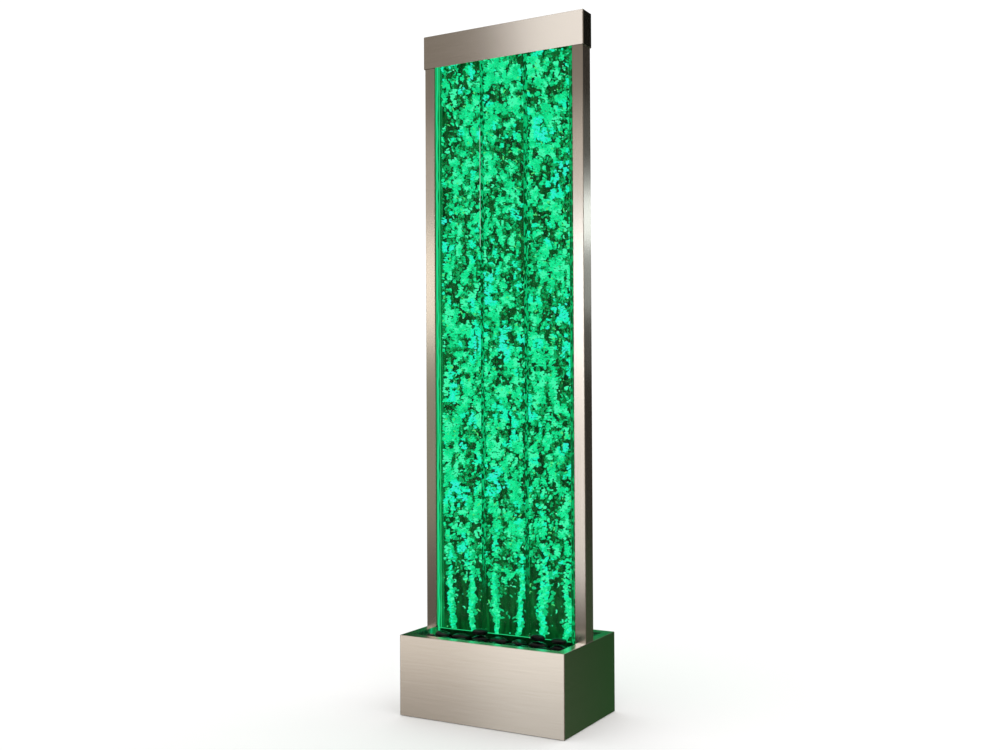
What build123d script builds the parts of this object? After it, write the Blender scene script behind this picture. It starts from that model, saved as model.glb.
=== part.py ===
from build123d import *
import math
import os

# A floor lamp: a lit, water-filled acrylic panel with rising air bubbles, held between two posts
# on a sheet-steel base. Millimetres; the front faces -Y, +Z is up, and the origin is on the floor
# under the middle of the base.

# Overall sizes
total_height = 1829.0
base_width = 482.6
base_depth = 304.8
rim_height = 211.5

# Sheet metal
steel = 1.2
tray_sheet = 1.0
plate_sheet = 1.5
fold_radius = 2.0
rim_radius = 1.0
lip_width = 25.0
bottom_flange = 14.0
floor_gap = 2.0
well_drop = 24.0
well_corner = 5.0
weld_gap = 0.2
assembly_gap = 0.3

# Posts, tie bar and header
post_width = 30.5
post_depth = 46.0
post_inset = 2.1
post_return = 9.0
end_plate = 4.0
tie_bar = 3.0
tie_margin = 1.0
header_height = 89.0
header_lap = 2.5
header_overhang = 2.9

# Acrylic panel
cushion = 1.0
tank_setback = 1.0
acrylic = 5.0
side_bar = 9.0
divider = 4.0
divider_foot = 10.0
divider_head = 40.0
tank_floor_thickness = 12.0
tank_floor_raise = 7.5
tank_lid_thickness = 8.0
tank_headroom = 34.0
channel_count = 3
bed_strip = 1.0
foam_length = 54.0

# Filler bung
filler_radius = 13.0
bung_flange = 4.0
bung_rim = 4.0
bung_plug = 12.0
bung_grip_radius = 6.0
bung_grip = 11.0
bung_clearance = 0.1

# Air line
nozzles_per_channel = 2
nozzle_radius = 2.0
nozzle_bore = 1.0
nozzle_stand = 3.0
manifold_size = 10.0
manifold_bore = 2.8
manifold_end = 9.0
manifold_y = -6.0
spigot_radius = 2.5
spigot_length = 12.0
hose_radius = 3.0
valve_radius = 8.0
valve_length = 18.0
valve_drop = 46.0
hose_bend = 44.0

# Light bar under the panel
led_bar_width = 10.0
led_bar_height = 4.0
led_bar_y = 7.0
led_board = 0.5
led_board_width = 8.0
led_size = 5.0
led_rise = 1.6
led_pitch = 16.0
led_bar_end = 3.0
bracket_sheet = 2.0
bracket_width = 16.0
bracket_reach = 14.0
bracket_count = 3
slot_half_depth = 12.8
slot_end = 4.0

# Pump and controller
pump_length = 112.0
pump_width = 62.0
pump_height = 56.0
pump_corner = 10.0
pump_rise = 8.0
outlet_rise = 34.0
pump_rib = 1.6
pump_rib_width = 3.0
pump_rib_count = 9
pump_seam = 3.0
mount_radius = 6.0
mount_inset = 14.0
controller_length = 92.0
controller_width = 48.0
controller_height = 28.0
controller_offset = 28.0
controller_shift = -16.0
controller_ear = 9.0
controller_ear_sheet = 2.5
lead_radius = 2.0
lead_rise = 16.0

# Recess in the back of the base for the inlet, the switch and the drain
recess_width = 150.0
recess_height = 70.0
recess_depth = 22.0
recess_flange = 12.0
recess_corner = 3.0
recess_z = 62.0
recess_margin = 20.0
inlet_radius = 5.5
inlet_flange = 8.5
inlet_flange_thickness = 2.5
inlet_body = 14.0
inlet_bore = 2.85
inlet_bore_depth = 9.5
inlet_pin = 1.0
inlet_nut_radius = 8.0
inlet_nut = 2.5
rocker_length = 14.0
rocker_width = 9.0
rocker_depth = 5.0
rocker_crown = 2.6
rocker_valley = 1.4
rocker_tilt = 10.0
rocker_play = 0.9
rocker_side_play = 0.3
rocker_pin_radius = 1.0
rocker_pin = 1.2
pin_clearance = 0.06
bezel_border = 2.4
bezel_lip = 2.0
bezel_rebate = 1.0
bezel_body = 17.0
rocker_pitch = 45.0

# Drain
drain_radius = 4.0
drain_bore = 2.5
drain_collar = 7.0
drain_collar_thickness = 3.0
drain_end = 12.5
drain_hose_radius = 5.0
spout_radius = 5.0
spout_length = 13.0
spout_inner_length = 9.0
cap_wall = 2.5
cap_clearance = 0.08
cap_ribs = 12
cap_rib_radius = 0.8

# Fasteners
screw_radius = 1.5
screw_head = 3.0
screw_head_height = 1.5
screw_length = 6.0
bolt_radius = 2.5
bolt_head_radius = 4.6
bolt_head_height = 3.5
hole_clearance = 0.15
post_bracket = 4.0
bracket_clearance = 2.0
bolt_pitch = 20.0

# Feet and vents
foot_radius = 15.0
foot_inset = 42.0
vent_radius = 3.0
vent_pitch = 14.0
vent_columns = 6
vent_rows = 3

# River stones: rows from the panel out to the wall of the well, each row smaller than the last
stone_length = 56.0
stone_height = 21.0
stone_gap = 2.0
stone_row_shares = (1.0, 0.82, 0.68)
stone_sides = 10
stone_rings = 5
stone_roundness = 62.0
stone_bluntness = 0.12
stone_slack = 0.07
stone_swing = 0.05
stone_turn = 3.0
heaped_share = 0.84

# Levels and places that follow
inner_width = base_width - 2 * steel
inner_depth = base_depth - 2 * steel
well_width = base_width - 2 * lip_width
well_depth = base_depth - 2 * lip_width
bed_depth = (well_depth - post_depth) / 2
stone_width = (bed_depth - len(stone_row_shares) * stone_gap) / sum(stone_row_shares)
lip_under = rim_height - steel
tray_flange_under = lip_under - tray_sheet
tray_floor = rim_height - well_drop
tray_under = tray_floor - tray_sheet
plate_under = floor_gap + steel
plate_top = plate_under + plate_sheet
post_span = base_width - 2 * post_inset
post_inner = post_span / 2 - post_width
post_middle = (post_inner + post_span / 2) / 2
header_width = post_span + 2 * header_overhang
header_depth = post_depth + 2 * header_lap
header_under = total_height - steel
tie_top = header_under - assembly_gap
tie_under = tie_top - tie_bar
tank_width = 2 * (post_inner - cushion)
tank_depth = post_depth - 2 * tank_setback
chamber_width = tank_width - 2 * side_bar
chamber_depth = tank_depth - 2 * acrylic
tank_bottom = tray_floor + bed_strip
tank_top = tie_under - tank_headroom
tank_floor_under = tank_bottom + tank_floor_raise
tank_floor_top = tank_floor_under + tank_floor_thickness
tank_lid_under = tank_top - tank_lid_thickness
channel_pitch = chamber_width / channel_count
nozzle_count = channel_count * nozzles_per_channel
nozzle_pitch = chamber_width / nozzle_count
slot_width = chamber_width - 2 * slot_end
manifold_length = (nozzle_count - 1) * nozzle_pitch + 2 * manifold_end
manifold_under = tank_floor_under - manifold_size
spigot_x = -(nozzle_count - 1) * nozzle_pitch / 2
spigot_foot = manifold_under - spigot_length
drain_x = chamber_width / 2 - drain_end
drain_foot = tray_under - spigot_length
led_bar_top = tray_floor
led_bar_under = led_bar_top - led_bar_height
led_bar_length = 2 * (drain_x - drain_radius - led_bar_end)
valve_top = spigot_foot - valve_drop
valve_foot = valve_top - valve_length - 2 * spigot_length
pump_floor = plate_top + pump_rise
pump_left = spigot_x + hose_bend + spigot_length
pump_x = pump_left + pump_length / 2
outlet_z = pump_floor + outlet_rise
controller_y = manifold_y + controller_shift
recess_x = drain_x + recess_margin - recess_width / 2
recess_front = base_depth / 2 - steel
recess_floor = recess_front - recess_depth
recess_back = recess_floor - tray_sheet
rocker_x = recess_x - rocker_pitch
controller_x = rocker_x + controller_offset
controller_left = controller_x - controller_length / 2
recess_screw_pitch = (recess_width + recess_flange, recess_height + recess_flange)
bolt_x = base_width / 2 - steel - bracket_clearance - bolt_head_radius - bracket_clearance

os.makedirs("parts", exist_ok=True)


def save(builder, label):
    """Name the piece and write it."""
    builder.part.label = label
    export_step(builder.part, f"parts/{label}.step")


def back_plane(distance):
    """A plane square to Y at this distance, with +X to its right and +Z up, looking at the front."""
    return Plane.XZ.offset(-distance)


def bend_radii(points):
    """The largest arc that each corner of the route has room for."""
    radii = []
    for before, corner, after in zip(points, points[1:], points[2:]):
        run_in = Vector(corner) - Vector(before)
        run_out = Vector(after) - Vector(corner)
        half_turn = math.radians(run_in.get_angle(run_out)) / 2
        radii.append(0.45 * min(run_in.length, run_out.length) / math.tan(half_turn))
    return radii


def tube(points, radius, label):
    """A round hose or lead along straight runs joined by tangent arcs."""
    radii = bend_radii(points)
    with BuildPart() as piece:
        with BuildLine() as route:
            if radii:
                FilletPolyline(*points, radius=radii)
            else:
                Line(*points)
        heading = Vector(points[1]) - Vector(points[0])
        with BuildSketch(Plane(origin=points[0], z_dir=heading)):
            Circle(radius)
        path = route.wires()[0]
        sweep(path=path)
    fill = piece.part.volume / (math.pi * radius ** 2 * path.length)
    print(label, "bend radii", [round(bend, 1) for bend in radii], "volume share", round(fill, 3))
    save(piece, label)


# Base shell: four walls with an inward lip round the rim and a flange round the bottom
with BuildPart() as base_shell:
    with BuildSketch(Plane.XY.offset(floor_gap)):
        RectangleRounded(base_width, base_depth, fold_radius)
    extrude(amount=rim_height - floor_gap)
    fillet(base_shell.faces().sort_by(Axis.Z)[-1].edges(), rim_radius)
    with BuildSketch(Plane.XY.offset(plate_under)):
        RectangleRounded(inner_width, inner_depth, fold_radius - steel)
    extrude(amount=lip_under - plate_under, mode=Mode.SUBTRACT)
    with BuildSketch(Plane.XY.offset(lip_under)):
        RectangleRounded(well_width, well_depth, well_corner)
    extrude(amount=steel, mode=Mode.SUBTRACT)
    with BuildSketch(Plane.XY.offset(floor_gap)):
        Rectangle(base_width - 2 * bottom_flange, base_depth - 2 * bottom_flange)
    extrude(amount=steel, mode=Mode.SUBTRACT)
    with BuildSketch(back_plane(base_depth / 2)):
        with Locations((recess_x, recess_z)):
            RectangleRounded(recess_width, recess_height, recess_corner)
    extrude(amount=steel, mode=Mode.SUBTRACT)
    with Locations(Location((recess_x, base_depth / 2, recess_z), (-90, 0, 0))):
        with GridLocations(*recess_screw_pitch, 2, 2):
            CounterSinkHole(screw_radius + hole_clearance, screw_head, depth=steel)
    with Locations((0, 0, rim_height)):
        with GridLocations(2 * bolt_x, bolt_pitch, 2, 2):
            Hole(bolt_radius + hole_clearance, depth=steel)
    plate_screws = [
        (side * (base_width - bottom_flange) / 2, along * base_depth / 4)
        for side in (-1, 1)
        for along in (-1, 1)
    ] + [
        (along * base_width / 4, side * (base_depth - bottom_flange) / 2)
        for side in (-1, 1)
        for along in (-1, 1)
    ]
    with BuildSketch(Plane.XY.offset(floor_gap)):
        with Locations(*plate_screws):
            Circle(screw_radius + hole_clearance)
    extrude(amount=steel, mode=Mode.SUBTRACT)
save(base_shell, "base_shell")

# Bottom plate: lies on the shell's flange, with pressed nuts for its screws and vents under the pump
nut_radius = 2 * screw_radius
nut_height = screw_length - steel - plate_sheet
with BuildPart() as bottom_plate:
    with BuildSketch(Plane.XY.offset(plate_under)):
        Rectangle(inner_width - 2 * assembly_gap, inner_depth - 2 * assembly_gap)
    extrude(amount=plate_sheet)
    with BuildSketch(Plane.XY.offset(plate_top)):
        with Locations(*plate_screws):
            RegularPolygon(nut_radius, 6)
    extrude(amount=nut_height)
    with BuildSketch(Plane.XY.offset(plate_under)):
        with Locations(*plate_screws):
            Circle(screw_radius + hole_clearance)
        with Locations((pump_x, manifold_y)):
            with GridLocations(vent_pitch, vent_pitch, vent_columns, vent_rows):
                Circle(vent_radius)
    extrude(amount=plate_sheet + nut_height, mode=Mode.SUBTRACT)
save(bottom_plate, "bottom_plate")

with BuildPart() as bottom_plate_screws:
    with BuildSketch(Plane.XY.offset(floor_gap - screw_head_height)):
        with Locations(*plate_screws):
            Circle(screw_head)
    extrude(amount=screw_head_height)
    with BuildSketch(Plane.XY.offset(floor_gap)):
        with Locations(*plate_screws):
            Circle(screw_radius)
    extrude(amount=screw_length)
save(bottom_plate_screws, "bottom_plate_screws")

with BuildPart() as foot_pads:
    with BuildSketch(Plane.XY):
        with GridLocations(base_width - 2 * foot_inset, base_depth - 2 * foot_inset, 2, 2):
            Circle(foot_radius)
    extrude(amount=plate_under)
    chamfer(foot_pads.edges().group_by(Axis.Z)[0], rim_radius)
save(foot_pads, "foot_pads")

# Stone tray: a shallow well hung under the lip, with a slot that lets the light up into the panel
with BuildPart() as stone_tray:
    with BuildSketch(Plane.XY.offset(tray_flange_under)):
        Rectangle(inner_width - 2 * assembly_gap, inner_depth - 2 * assembly_gap)
    extrude(amount=tray_sheet)
    with BuildSketch(Plane.XY.offset(tray_under)):
        RectangleRounded(well_width + 2 * tray_sheet, well_depth + 2 * tray_sheet,
                         well_corner + tray_sheet)
    extrude(amount=tray_flange_under - tray_under)
    with BuildSketch(Plane.XY.offset(tray_floor)):
        RectangleRounded(well_width, well_depth, well_corner)
    extrude(amount=lip_under - tray_floor, mode=Mode.SUBTRACT)
    with BuildSketch(Plane.XY.offset(tray_under)):
        Rectangle(slot_width, 2 * slot_half_depth)
    extrude(amount=tray_sheet, mode=Mode.SUBTRACT)
    with Locations((0, 0, lip_under)):
        with GridLocations(2 * bolt_x, bolt_pitch, 2, 2):
            Hole(bolt_radius + hole_clearance, depth=tray_sheet)
save(stone_tray, "stone_tray")


def stone_outline(length, width):
    """An egg-shaped ring of points, blunter at one end."""
    points = []
    for corner in range(stone_sides):
        angle = 2 * math.pi * corner / stone_sides
        blunt = 1 + stone_bluntness * math.cos(angle)
        points.append((length / 2 * math.cos(angle), width / 2 * blunt * math.sin(angle)))
    return points


def river_stone(x, y, foot, length, width, height, turn):
    """One flat water-worn stone: rings up a rounded side, between a flat underneath and one on top."""
    heading = (math.cos(math.radians(turn)), math.sin(math.radians(turn)), 0)
    with BuildPart() as stone:
        for ring in range(stone_rings):
            tilt = math.radians(stone_roundness) * (2 * ring / (stone_rings - 1) - 1)
            rise = (1 + math.sin(tilt) / math.sin(math.radians(stone_roundness))) / 2
            place = Plane(origin=(x, y, foot + rise * height), x_dir=heading, z_dir=(0, 0, 1))
            with BuildSketch(place):
                Polygon(*stone_outline(length * math.cos(tilt), width * math.cos(tilt)), align=None)
        loft(ruled=True)
    return stone.part


def stone_rows(side, seed, heaped):
    """Rows of stones on one side of the panel, with a few more heaped on the first row."""
    stones = []
    near_edge = post_depth / 2 + stone_gap
    for row, row_share in enumerate(stone_row_shares):
        length, width = row_share * stone_length, row_share * stone_width
        y = side * (near_edge + width / 2)
        cell = length + stone_gap
        count = int(well_width // cell)
        for place in range(count):
            x = (place - (count - 1) / 2) * cell
            wave = math.sin(seed + row + math.e * place)
            longer, wider = 1 - stone_slack + stone_swing * wave, 1 - stone_slack - stone_swing * wave
            height = stone_height * row_share * (1 + stone_swing * wave)
            stones.append(river_stone(x, y, tray_floor, length * longer, width * wider, height,
                                      stone_turn * wave))
            if row == 0 and place in heaped:
                stones.append(river_stone(x, y, tray_floor + height + assembly_gap,
                                          length * longer * heaped_share,
                                          width * wider * heaped_share,
                                          height * heaped_share, -stone_turn * wave))
        near_edge += width + stone_gap
    return stones


front_stones = stone_rows(-1, 0.4, (2, 5, 6))
with BuildPart() as river_stones_front:
    add(front_stones)
save(river_stones_front, "river_stones_front")

back_stones = stone_rows(1, 2.1, (1, 5))
with BuildPart() as river_stones_back:
    add(back_stones)
save(river_stones_back, "river_stones_back")

# Posts: folded channels that stand on the lip, open towards the panel between two returns
with BuildPart() as post_right:
    with BuildSketch(Plane.XY.offset(rim_height)):
        with Locations((post_middle, 0)):
            RectangleRounded(post_width, post_depth, rim_radius + steel / 2)
            Rectangle(post_width - 2 * steel, post_depth - 2 * steel, mode=Mode.SUBTRACT)
        with Locations((post_inner + steel / 2, 0)):
            Rectangle(2 * steel, post_depth - 2 * post_return, mode=Mode.SUBTRACT)
    extrude(amount=tie_under - rim_height)
save(post_right, "post_right")

with BuildPart() as post_left:
    mirror(post_right.part, about=Plane.YZ)
save(post_left, "post_left")

with BuildPart() as post_foot_plates:
    with BuildSketch(Plane.XY.offset(rim_height)):
        with GridLocations(2 * post_middle, 0, 2, 1):
            Rectangle(post_width - 2 * steel - 2 * weld_gap, post_depth - 2 * steel - 2 * weld_gap)
        with GridLocations(2 * bolt_x, bolt_pitch, 2, 2):
            Circle(bolt_radius + hole_clearance, mode=Mode.SUBTRACT)
    extrude(amount=end_plate)
save(post_foot_plates, "post_foot_plates")

bracket_inner = well_width / 2 + tray_sheet + assembly_gap
bracket_outer = inner_width / 2 - bracket_clearance
with BuildPart() as post_brackets:
    with BuildSketch(Plane.XY.offset(tray_flange_under - post_bracket)):
        with GridLocations(bracket_inner + bracket_outer, 0, 2, 1):
            Rectangle(bracket_outer - bracket_inner, post_depth + bolt_pitch)
        with GridLocations(2 * bolt_x, bolt_pitch, 2, 2):
            Circle(bolt_radius + hole_clearance, mode=Mode.SUBTRACT)
    extrude(amount=post_bracket)
save(post_brackets, "post_brackets")

bolt_head_under = tray_flange_under - post_bracket - bolt_head_height
with BuildPart() as post_bolts:
    with BuildSketch(Plane.XY.offset(bolt_head_under)):
        with GridLocations(2 * bolt_x, bolt_pitch, 2, 2):
            RegularPolygon(bolt_head_radius, 6)
    extrude(amount=bolt_head_height)
    with BuildSketch(Plane.XY.offset(bolt_head_under + bolt_head_height)):
        with GridLocations(2 * bolt_x, bolt_pitch, 2, 2):
            Circle(bolt_radius)
    extrude(amount=rim_height + end_plate - bolt_head_under - bolt_head_height)
save(post_bolts, "post_bolts")

with BuildPart() as post_top_plates:
    with BuildSketch(Plane.XY.offset(tie_under - end_plate)):
        with GridLocations(2 * post_middle, 0, 2, 1):
            Rectangle(post_width - 2 * steel - 2 * weld_gap, post_depth - 2 * steel - 2 * weld_gap)
        with GridLocations(2 * post_middle, bolt_pitch, 2, 2):
            Circle(bolt_radius + hole_clearance, mode=Mode.SUBTRACT)
    extrude(amount=end_plate)
save(post_top_plates, "post_top_plates")

# Tie bar across the tops of the posts, with a hole over the filler
with BuildPart() as top_tie_bar:
    with BuildSketch(Plane.XY.offset(tie_under)):
        Rectangle(post_span - 2 * tie_margin, post_depth - 2 * tie_margin)
        Circle(filler_radius + bung_rim + assembly_gap, mode=Mode.SUBTRACT)
    extrude(amount=tie_bar)
    with Locations((0, 0, tie_top)):
        with GridLocations(2 * post_middle, bolt_pitch, 2, 2):
            CounterSinkHole(bolt_radius + hole_clearance, 2 * bolt_radius, depth=tie_bar)
save(top_tie_bar, "top_tie_bar")

with BuildPart() as tie_screws:
    with BuildSketch(Plane.XY.offset(tie_under - end_plate)):
        with GridLocations(2 * post_middle, bolt_pitch, 2, 2):
            Circle(bolt_radius)
    extrude(amount=end_plate + tie_bar)
    with GridLocations(2 * post_middle, bolt_pitch, 2, 2):
        with Locations((0, 0, tie_top - bolt_radius / 2)):
            Cone(bolt_radius, 2 * bolt_radius - 2 * hole_clearance,
                 bolt_radius - 2 * hole_clearance)
save(tie_screws, "tie_screws")

# Header: a folded cap that drops over the tie bar and the tops of the posts
with BuildPart() as header_cap:
    with BuildSketch(Plane.XY.offset(total_height - header_height)):
        RectangleRounded(header_width, header_depth, fold_radius)
    extrude(amount=header_height)
    fillet(header_cap.faces().sort_by(Axis.Z)[-1].edges(), rim_radius)
    with BuildSketch(Plane.XY.offset(total_height - header_height)):
        RectangleRounded(header_width - 2 * steel, header_depth - 2 * steel, fold_radius - steel)
    extrude(amount=header_height - steel, mode=Mode.SUBTRACT)
save(header_cap, "header_cap")

# Acrylic panel: two sheets bonded to side bars, dividers, a floor bar and a lid
for side, label in ((-1, "tank_front_sheet"), (1, "tank_back_sheet")):
    with BuildPart() as tank_sheet:
        with BuildSketch(Plane.XY.offset(tank_bottom)):
            with Locations((0, side * (tank_depth - acrylic) / 2)):
                Rectangle(tank_width, acrylic)
        extrude(amount=tank_top - tank_bottom)
        chamfer(tank_sheet.edges().filter_by(Axis.Z), tray_sheet / 2)
    save(tank_sheet, label)

with BuildPart() as tank_side_bars:
    with BuildSketch(Plane.XY.offset(tank_bottom)):
        with GridLocations(tank_width - side_bar, 0, 2, 1):
            Rectangle(side_bar, chamber_depth)
    extrude(amount=tank_top - tank_bottom)
save(tank_side_bars, "tank_side_bars")

with BuildPart() as tank_dividers:
    with BuildSketch(Plane.XY.offset(tank_floor_top + divider_foot)):
        with GridLocations(channel_pitch, 0, channel_count - 1, 1):
            Rectangle(divider, chamber_depth)
    extrude(amount=tank_lid_under - divider_head - tank_floor_top - divider_foot)
save(tank_dividers, "tank_dividers")

with BuildPart() as tank_floor:
    with BuildSketch(Plane.XY.offset(tank_floor_under)):
        Rectangle(chamber_width, chamber_depth)
        with Locations((0, manifold_y)):
            with GridLocations(nozzle_pitch, 0, nozzle_count, 1):
                Circle(nozzle_radius + pin_clearance, mode=Mode.SUBTRACT)
        with Locations((drain_x, 0)):
            Circle(drain_radius + pin_clearance, mode=Mode.SUBTRACT)
    extrude(amount=tank_floor_thickness)
save(tank_floor, "tank_floor")

with BuildPart() as tank_lid:
    with BuildSketch(Plane.XY.offset(tank_lid_under)):
        Rectangle(chamber_width, chamber_depth)
        Circle(filler_radius, mode=Mode.SUBTRACT)
    extrude(amount=tank_lid_thickness)
save(tank_lid, "tank_lid")

bed_width = tank_depth / 2 - slot_half_depth
with BuildPart() as tank_bed_strips:
    with BuildSketch(Plane.XY.offset(tray_floor)):
        with GridLocations(0, tank_depth - bed_width, 1, 2):
            Rectangle(tank_width, bed_width)
    extrude(amount=bed_strip)
save(tank_bed_strips, "tank_bed_strips")

with BuildPart() as side_cushions:
    with BuildSketch(Plane.XY.offset(rim_height)):
        with GridLocations(tank_width + cushion, 0, 2, 1):
            Rectangle(cushion, tank_depth - 2 * tank_setback)
    extrude(amount=tank_top - rim_height)
save(side_cushions, "side_cushions")

# Foam blocks between the tie bar and the top of the panel
with BuildPart() as top_cushions:
    with BuildSketch(Plane.XY.offset(tank_top)):
        with GridLocations(tank_width - foam_length, 0, 2, 1):
            Rectangle(foam_length, chamber_depth)
    extrude(amount=tie_under - tank_top)
save(top_cushions, "top_cushions")

# Filler bung: plug, rim and grip turned about the filler's axis
bung_seat = tank_top + assembly_gap
with BuildPart() as filler_bung:
    with BuildSketch(Plane.XZ):
        with BuildLine():
            plug_radius = filler_radius - bung_clearance
            rim_radius_outer = filler_radius + bung_rim
            grip_top = bung_seat + bung_flange + bung_grip
            Polyline(
                (0, bung_seat - bung_plug),
                (plug_radius - rim_radius, bung_seat - bung_plug),
                (plug_radius, bung_seat - bung_plug + rim_radius),
                (plug_radius, bung_seat),
                (rim_radius_outer, bung_seat),
                (rim_radius_outer, bung_seat + bung_flange - rim_radius),
                (rim_radius_outer - rim_radius, bung_seat + bung_flange),
                (bung_grip_radius, bung_seat + bung_flange),
                (bung_grip_radius, grip_top - rim_radius),
                (bung_grip_radius - rim_radius, grip_top),
                (0, grip_top),
                (0, bung_seat - bung_plug),
            )
        make_face()
    revolve(axis=Axis.Z)
save(filler_bung, "filler_bung")

# Air manifold under the floor bar, with a spigot for the hose and one nozzle per bubble column
with BuildPart() as air_manifold:
    with BuildSketch(Plane.XY.offset(manifold_under)):
        with Locations((0, manifold_y)):
            Rectangle(manifold_length, manifold_size)
    extrude(amount=manifold_size)
    with BuildSketch(Plane.YZ.offset(-manifold_length / 2 + manifold_end / 2)):
        with Locations((manifold_y, manifold_under + manifold_size / 2)):
            Circle(manifold_bore)
    extrude(amount=manifold_length - manifold_end, mode=Mode.SUBTRACT)
    with BuildSketch(Plane.XY.offset(manifold_under + manifold_size / 2)):
        with Locations((0, manifold_y)):
            with GridLocations(nozzle_pitch, 0, nozzle_count, 1):
                Circle(nozzle_radius + pin_clearance)
    extrude(amount=manifold_size / 2, mode=Mode.SUBTRACT)
    with BuildSketch(Plane.XY.offset(spigot_foot)):
        with Locations((spigot_x, manifold_y)):
            Circle(spigot_radius)
    extrude(amount=spigot_length)
save(air_manifold, "air_manifold")

nozzle_foot = manifold_under + manifold_size / 2 + manifold_bore
with BuildPart() as air_nozzles:
    with BuildSketch(Plane.XY.offset(nozzle_foot)):
        with Locations((0, manifold_y)):
            with GridLocations(nozzle_pitch, 0, nozzle_count, 1):
                Circle(nozzle_radius)
                Circle(nozzle_bore, mode=Mode.SUBTRACT)
    extrude(amount=tank_floor_top + nozzle_stand - nozzle_foot)
save(air_nozzles, "air_nozzles")

# Check valve: a drum with a spigot at each end, hung in the air line
valve_centre = (spigot_x, manifold_y)
with BuildPart() as check_valve:
    with BuildSketch(Plane.XY.offset(valve_foot)):
        with Locations(valve_centre):
            Circle(spigot_radius)
    extrude(amount=valve_length + 2 * spigot_length)
    with BuildSketch(Plane.XY.offset(valve_foot + spigot_length)):
        with Locations(valve_centre):
            Circle(valve_radius)
    extrude(amount=valve_length)
    drum_edges = check_valve.edges().filter_by(GeomType.CIRCLE)
    chamfer(drum_edges.filter_by(lambda edge: edge.radius > spigot_radius), rim_radius)
save(check_valve, "check_valve")

tube([(spigot_x, manifold_y, spigot_foot), (spigot_x, manifold_y, valve_top)],
     hose_radius, "air_hose_upper")
tube([(spigot_x, manifold_y, valve_foot),
      (spigot_x, manifold_y, outlet_z),
      (pump_left - spigot_length, manifold_y, outlet_z)],
     hose_radius, "air_hose_lower")

# Light bar: an aluminium flat under the slot, with a board of light-emitting diodes facing up
with BuildPart() as led_bar:
    with BuildSketch(Plane.XY.offset(led_bar_under)):
        with Locations((0, led_bar_y)):
            Rectangle(led_bar_length, led_bar_width)
    extrude(amount=led_bar_height)
save(led_bar, "led_bar")

with BuildPart() as led_strip:
    with BuildSketch(Plane.XY.offset(led_bar_top)):
        with Locations((0, led_bar_y)):
            Rectangle(led_bar_length, led_board_width)
    extrude(amount=led_board)
save(led_strip, "led_strip")

led_count = int((led_bar_length - led_pitch) // led_pitch) + 1
with BuildPart() as led_chips:
    with BuildSketch(Plane.XY.offset(led_bar_top + led_board)):
        with Locations((0, led_bar_y)):
            with GridLocations(led_pitch, 0, led_count, 1):
                Rectangle(led_size, led_size)
    extrude(amount=led_rise)
save(led_chips, "led_chips")

# Brackets folded from strip: under the light bar, up beside the slot and out under the tray
bracket_shelf = led_bar_under - bracket_sheet
bracket_step = led_bar_y + led_bar_width / 2 + assembly_gap
with BuildPart() as led_brackets:
    with BuildSketch(Plane.YZ):
        with BuildLine():
            Polyline(
                (led_bar_y - led_bar_width / 2, bracket_shelf),
                (bracket_step + bracket_sheet, bracket_shelf),
                (bracket_step + bracket_sheet, tray_under - bracket_sheet),
                (bracket_step + bracket_reach, tray_under - bracket_sheet),
                (bracket_step + bracket_reach, tray_under),
                (bracket_step, tray_under),
                (bracket_step, led_bar_under),
                (led_bar_y - led_bar_width / 2, led_bar_under),
                close=True,
            )
        make_face()
    extrude(amount=bracket_width / 2, both=True)
    strap = led_brackets.part
with BuildPart() as led_bar_brackets:
    with GridLocations((led_bar_length - bracket_width) / bracket_count, 0, bracket_count, 1):
        add(strap)
save(led_bar_brackets, "led_bar_brackets")

# Air pump: a rounded die-cast box with cooling ribs on top, an outlet spigot and four rubber feet
with BuildPart() as air_pump:
    with BuildSketch(Plane.XY.offset(pump_floor)):
        with Locations((pump_x, manifold_y)):
            RectangleRounded(pump_length, pump_width, pump_corner)
    extrude(amount=pump_height - pump_rib)
    fillet(air_pump.faces().sort_by(Axis.Z)[-1].edges(), pump_seam)
    with BuildSketch(Plane.XY.offset(pump_floor + pump_height - pump_rib)):
        with Locations((pump_x, manifold_y)):
            with GridLocations(2 * pump_rib_width, 0, pump_rib_count, 1):
                SlotOverall(pump_width - 2 * pump_corner, pump_rib_width, rotation=90)
    extrude(amount=pump_rib)
    with BuildSketch(Plane.YZ.offset(pump_left - spigot_length)):
        with Locations((manifold_y, outlet_z)):
            Circle(spigot_radius)
    extrude(amount=spigot_length)
save(air_pump, "air_pump")

with BuildPart() as pump_mounts:
    with BuildSketch(Plane.XY.offset(plate_top)):
        with Locations((pump_x, manifold_y)):
            with GridLocations(pump_length - 2 * mount_inset, pump_width - 2 * mount_inset, 2, 2):
                Circle(mount_radius)
    extrude(amount=pump_rise, taper=assembly_gap)
save(pump_mounts, "pump_mounts")

# Controller for the light's colours: a plastic box with an ear at each end
ear_pitch = controller_length + controller_ear
with BuildPart() as led_controller:
    with BuildSketch(Plane.XY.offset(plate_top)):
        with Locations((controller_x, controller_y)):
            RectangleRounded(controller_length, controller_width, fold_radius)
    extrude(amount=controller_height)
    fillet(led_controller.faces().sort_by(Axis.Z)[-1].edges(), rim_radius)
    with BuildSketch(Plane.XY.offset(plate_top)):
        with Locations((controller_x, controller_y)):
            SlotCenterToCenter(ear_pitch, 2 * controller_ear)
            with GridLocations(ear_pitch, 0, 2, 1):
                Circle(screw_radius + hole_clearance, mode=Mode.SUBTRACT)
    extrude(amount=controller_ear_sheet)
save(led_controller, "led_controller")

with BuildPart() as controller_screws:
    with BuildSketch(Plane.XY.offset(plate_top)):
        with Locations((controller_x, controller_y)):
            with GridLocations(ear_pitch, 0, 2, 1):
                Circle(screw_radius)
    extrude(amount=controller_ear_sheet)
    with BuildSketch(Plane.XY.offset(plate_top + controller_ear_sheet)):
        with Locations((controller_x, controller_y)):
            with GridLocations(ear_pitch, 0, 2, 1):
                Circle(screw_head)
    extrude(amount=screw_head_height)
save(controller_screws, "controller_screws")

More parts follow.
